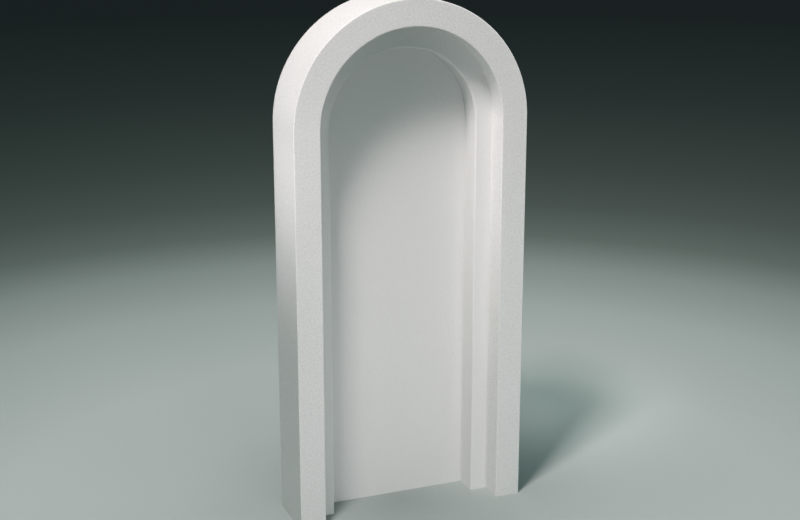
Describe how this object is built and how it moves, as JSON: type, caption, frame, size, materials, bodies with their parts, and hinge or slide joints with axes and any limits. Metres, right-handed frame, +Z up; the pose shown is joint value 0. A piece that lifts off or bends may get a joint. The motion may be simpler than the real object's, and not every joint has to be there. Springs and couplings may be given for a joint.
{
  "type": "decorative foam arch",
  "caption": "Free-standing round-topped foam arch with stepped reveals around a closed flat-backed niche, for display, backdrop or wall decoration.",
  "frame": {"origin": "on the floor, in the middle of the footprint", "axes": "+Z up, the open side of the niche faces -Y, +X to the right as seen from the front"},
  "size_m": [0.92, 0.248, 2],
  "materials": {
    "arch_coat": "matte white sprayed coat with a fine pebbled grain, over foam",
    "panel_coat": "matte white sprayed coat, finer and flatter than the arches'"
  },
  "bodies": {
    "root": {"outer_arch": "arch_coat", "inner_arch": "arch_coat", "back_panel": "panel_coat"}
  },
  "joints": []
}
